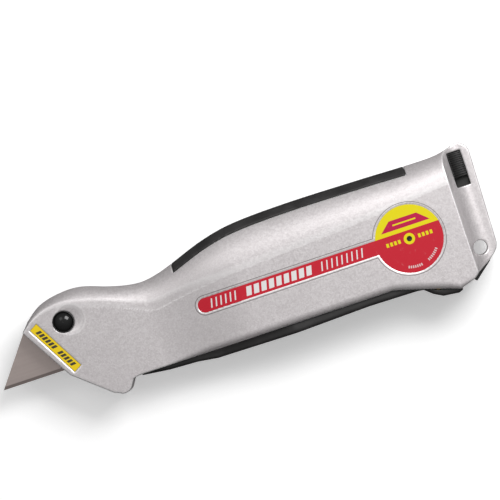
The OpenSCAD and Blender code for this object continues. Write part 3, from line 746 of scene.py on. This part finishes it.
def bladeSteel():
    # lengthwise grinding on the flat, and a darker ground bevel along the edge
    f = Finish("bladeSteel", (0.5, 0.47, 0.44), 0.9, 0.36)
    y = f.axes()[1]
    lines = f.noise(1100.0, 3.0, 0.6, f.stretched((0.03, 1.0, 1.0)))
    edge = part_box("blade")[0].y / mm - float(origin[1])
    bevel = 1 - y.soft(edge + 1.05, edge + 1.3)
    stain = f.noise(110.0, 4.0, 0.6)
    flat = f.mix(lines * 0.5 + stain * 0.5, (0.4, 0.335, 0.315), (0.52, 0.45, 0.425))
    f.feed("Base Color", f.mix(bevel, flat, (0.3, 0.25, 0.235)))
    f.feed("Roughness", (lines - 0.5) * 0.2 + 0.38 - bevel * 0.08)
    f.bump(lines, 0.1, 0.00006)
    return f.material


def softRubber():
    f = Finish("softRubber", (0.022, 0.022, 0.022), 0.0, 0.62)
    cloud = f.noise(80.0, 3.0, 0.6)
    f.feed("Base Color", f.mix(cloud, (0.015, 0.015, 0.015), (0.035, 0.034, 0.033)))
    f.feed("Roughness", (cloud - 0.5) * 0.2 + 0.62)
    f.bump(f.cells("F1", 1100.0, "Distance"), 0.25, 0.00015)
    return f.material


inks = {"red": (0.53, 0.012, 0.028), "deepRed": (0.48, 0.006, 0.06), "yellow": (0.74, 0.64, 0.002),
        "white": (0.74, 0.72, 0.71), "black": (0.01, 0.01, 0.01), "strip": (0.86, 0.62, 0.007),
        "block": (0.05, 0.045, 0.03), "border": (0.2, 0.15, 0.04)}
marks = {
    # start, end, pitch and width of each run of slanted bars
    "bars": [(72.2, 83.0, 1.9, 0.55), (116.5, 134.5, 2.0, 0.5), (86.5, 113.5, 3.0, 2.05)],
    "barHeight": 3.5, "barLean": 0.25, "ringR": 2.15, "coreR": 1.05,
    "bladeY": 23.6, "bladeHalf": 1.9, "bladeReach": 7.6, "bladeLean": 1.1, "openHalf": 0.28, "openReach": 4.6,
    "dashStart": 3.5, "dashRun": 6.1, "dashPitch": 1.55, "dashWidth": 1.0, "dashHalf": 0.75,
    "tickBand": (10.3, 11.3), "tickPitch": 4.4, "tickWidth": 2.6,
    "tickArcs": [(-110.0, -79.2), (-66.0, -35.2)],
}


def sideLabelInk():
    f = Finish("sideLabelInk", inks["red"], 0.0, 0.32, {"Specular IOR Level": 0.3})
    x, y, _ = f.axes()
    (cx, cy), middle = label["disc"], label["stripeY"]
    # plain slanted bars along the stripe
    slant = x - (y - middle) * marks["barLean"]
    bars = 0.0
    for start, end, pitch, width in marks["bars"]:
        bars = ((slant - start).wrap(pitch) < width) * slant.within(start, end) + bars
    bars = bars * ((y - middle).size() < marks["barHeight"] / 2)
    # blade-shaped mark in the yellow part
    ix, iy = (x - cx).size(), y - marks["bladeY"]
    opening = (iy.size() < marks["openHalf"]) * (ix < marks["openReach"])
    blade = (iy.size() < marks["bladeHalf"]) * (ix + iy * marks["bladeLean"] < marks["bladeReach"])
    blade = blade * (1 - opening)
    # ring with a dot and short bars beside it
    away = ((x - cx) * (x - cx) + (y - cy) * (y - cy)).root()
    beside = ix - marks["dashStart"]
    dashes = beside.within(0.0, marks["dashRun"]) * (beside.wrap(marks["dashPitch"]) < marks["dashWidth"])
    dashes = dashes * ((y - cy).size() < marks["dashHalf"])
    # small ticks inside the disc's lower edge
    turn = (y - cy).math("ARCTAN2", x - cx) * math.degrees(1)
    first, second = marks["tickArcs"]
    ticks = away.within(*marks["tickBand"]) * (turn.wrap(marks["tickPitch"]) < marks["tickWidth"])
    ticks = ticks * (turn.within(*first) + turn.within(*second))
    upper = (y > middle + label["stripeW"] / 2) * (away < label["discR"] + 0.5)
    base = f.mix(upper, inks["red"], inks["yellow"])
    layers = [(blade * upper, "deepRed"), (bars, "white"), (away < marks["ringR"], "yellow"),
              (away < marks["coreR"], "black"), (dashes, "yellow"), (ticks * 0.7, "white")]
    for mask, ink in layers:
        base = f.mix(mask, base, inks[ink])
    scuff = f.noise(500.0, 4.0, 0.6)
    f.feed("Base Color", f.mix(scuff.soft(0.62, 0.8) * 0.12, base, (0.75, 0.72, 0.7)))
    f.feed("Roughness", scuff * 0.14 + 0.26)
    f.bump(scuff, 0.03, 0.00005)
    return f.material


stripMarks = {"border": 0.16, "lean": 0.45, "run": 19.1, "pitch": 1.6, "width": 1.1, "half": 0.95,
              "space": (7.9, 9.6)}


def stripInk():
    # yellow strip with a dark border and plain dark blocks
    f = Finish("stripInk", inks["strip"], 0.0, 0.38, {"Specular IOR Level": 0.3})
    x, y, _ = f.axes()
    u, v = alongSticker(x, y)
    w, length = sticker["size"]
    fromSide, fromEnd = (u + w / 2).size(), (v - length / 2).size()
    border = (fromSide > w / 2 - stripMarks["border"]).high(fromEnd > length / 2 - stripMarks["border"])
    start = length / 2 - w / 2 * stripMarks["lean"] - stripMarks["run"] / 2
    slanted = v + u * stripMarks["lean"] - start
    blocks = (fromSide < stripMarks["half"]) * slanted.within(0.0, stripMarks["run"])
    blocks = blocks * (slanted.wrap(stripMarks["pitch"]) < stripMarks["width"])
    blocks = blocks * (1 - slanted.within(*stripMarks["space"]))
    base = f.mix(blocks, inks["strip"], inks["block"])
    base = f.mix(border * 0.75, base, inks["border"])
    scuff = f.noise(600.0, 3.0, 0.6)
    f.feed("Base Color", f.mix(scuff.soft(0.6, 0.8) * 0.15, base, (0.8, 0.72, 0.4)))
    f.feed("Roughness", scuff * 0.2 + 0.3)
    return f.material


def finishAll():
    finishes = {
        "cast_paint": castPaint(),
        "soft_black": blackMoulded("softGrip", (0.018, 0.017, 0.017), 0.6, 1300.0, 0.4),
        "black_plastic": blackMoulded("mouldedBlack", (0.009, 0.0085, 0.0085), 0.4, 1800.0, 0.2),
        "lever_plastic": blackMoulded("leverBlack", (0.014, 0.013, 0.013), 0.44, 1500.0, 0.3),
        "gloss_black": glossBlack(),
        "zinc_steel": groundSteel("zincSteel", (0.62, 0.62, 0.6), 0.34, 900.0),
        "ground_steel": groundSteel("groundSteel", (0.5, 0.5, 0.51), 0.3, 1500.0, (0.05, 1.0, 1.0)),
        "spring_steel": groundSteel("springSteel", (0.55, 0.55, 0.57), 0.26, 1200.0, (1.0, 1.0, 0.2)),
        "blade_steel": bladeSteel(),
        "carriage_metal": groundSteel("carriageMetal", (0.24, 0.24, 0.25), 0.5, 1100.0),
        "brass": groundSteel("turnedBrass", (0.72, 0.5, 0.22), 0.3, 1400.0, (1.0, 1.0, 0.05)),
        "rubber": softRubber(),
        "printed_red": sideLabelInk(),
        "printed_yellow": stripInk(),
    }
    for part in frame["record"]["subparts"]:
        slotOf[frame["nodes"][part["node"]]] = part["material_slot"]
    for obj, slot in slotOf.items():
        obj.data.materials.clear()
        obj.data.materials.append(finishes[slot])


softened = {"blade_carriage": 0.25, "cam_plates": 0.12, "magazine_tray": 0.25, "latch_bar": 0.2,
            "lever_pivot_pin": 0.25, "cover_screws": 0.15, "plate_rivets": 0.15, "drive_pin": 0.15,
            "keeper_screw": 0.1, "pivot_bushes": 0.1}


def softenEdges():
    # small rounded edges on the CAD pieces that stay
    for node, width in softened.items():
        obj = frame["nodes"][node]
        bevel = obj.modifiers.new("edges", "BEVEL")
        bevel.width = width * mm
        bevel.segments = 2
        bevel.limit_method = "ANGLE"
        bevel.angle_limit = math.radians(35)
        bevel.use_clamp_overlap = True
        obj.modifiers.new("shade", "WEIGHTED_NORMAL")


# focus and distance in millimetres, the tilts in degrees, clip in metres
view = {"focus": (8.16, 12.98, 26.0), "roll": 18.47, "away": 1500.0, "side": 2.0, "rise": 0.0,
        "lens": 284.4, "sensor": 36, "clip": (0.01, 20)}


def makeCamera():
    data = bpy.data.cameras.new("view")
    camera = bpy.data.objects.new("view", data)
    bpy.context.scene.collection.objects.link(camera)
    side, rise, roll = (math.radians(view[key]) for key in ("side", "rise", "roll"))
    toward = Vector((math.tan(side), math.tan(rise), 1)).normalized()
    up = Vector((math.sin(roll), math.cos(roll), 0))
    up = (up - toward * up.dot(toward)).normalized()
    place = Matrix((up.cross(toward), up, toward)).transposed().to_4x4()
    place.translation = (Vector(view["focus"]) + toward * view["away"]) * mm
    camera.matrix_world = place
    data.lens = view["lens"]
    data.sensor_width = view["sensor"]
    data.clip_start, data.clip_end = view["clip"]
    bpy.context.scene.camera = camera


studio = {
    "sky": [(0.0, 0.03), (0.5, 0.06), (0.6, 0.16), (0.72, 0.38), (0.84, 0.56), (0.93, 0.68), (1.0, 0.72)],
    "shade": 0.5, "shadeSpan": (-0.6, 0.5),
    # place, target, size and watts of each softbox
    "lamps": {"key": [(0.27, 0.24, 0.46), (0.03, 0, 0), (0.3, 0.26), 2.4],
              "side": [(-0.2, 0.3, 0.5), (-0.05, 0, 0), (0.22, 0.22), 0.2]},
    "floorHalf": 3.0, "floorDrop": 0.0006, "floorGlow": 0.3,
}


def softbox(name, place, target, size, watts):
    data = bpy.data.lights.new(name, "AREA")
    data.shape = "RECTANGLE"
    data.size, data.size_y = size
    data.energy = watts
    lamp = bpy.data.objects.new(name, data)
    bpy.context.scene.collection.objects.link(lamp)
    lamp.location = place
    lamp.rotation_euler = (Vector(place) - Vector(target)).to_track_quat("Z", "Y").to_euler()


def makeFloor():
    mesh = bpy.data.meshes.new("floor")
    s = studio["floorHalf"]
    mesh.from_pydata([(-s, -s, 0), (s, -s, 0), (s, s, 0), (-s, s, 0)], [], [(0, 1, 2, 3)])
    floor = bpy.data.objects.new("floor", mesh)
    floor.location.z = -studio["floorDrop"]
    floor.visible_glossy = False
    bpy.context.scene.collection.objects.link(floor)
    f = Finish("floorPaper", (0.9, 0.9, 0.9), 0.0, 0.95,
               {"Emission Color": (1, 1, 1), "Emission Strength": studio["floorGlow"]})
    f.feed("Base Color", f.mix(f.noise(3.0, 2.0, 0.5), (0.9, 0.9, 0.9), (0.93, 0.93, 0.93)))
    mesh.materials.append(f.material)


def makeStudio():
    makeFloor()
    world = bpy.data.worlds.new("studio")
    world.use_nodes = True
    graph = Graph(world.node_tree)
    # bright from partway up, and dark from the horizon down
    direction = graph.node("ShaderNodeTexCoord", output="Generated")
    split = graph.node("ShaderNodeSeparateXYZ", values={0: direction})
    stops = [(at, (glow, glow, glow)) for at, glow in studio["sky"]]
    sky = graph.node("ShaderNodeValToRGB", {"stops": stops}, {"Fac": split.output(2) * 0.5 + 0.5})
    # the spine side is the bright side of the room
    roll = math.radians(view["roll"])
    above = (split * math.sin(roll) + split.output(1) * math.cos(roll)).soft(*studio["shadeSpan"])
    strength = above * (1 - studio["shade"]) + studio["shade"]
    graph.fill(world.node_tree.nodes["Background"], {"Color": sky, "Strength": strength})
    bpy.context.scene.world = world
    bpy.context.scene.view_settings.view_transform = "Standard"
    for name, lamp in studio["lamps"].items():
        softbox(name, *lamp)


makeCasing()
print("casing done")
makeLever()
makeGrip()
makeInsert()
makeSlider()
makeButton()
print("black pieces done")
softenEdges()
finishAll()
print("finishes done")
makeCamera()
makeStudio()
print("studio done")
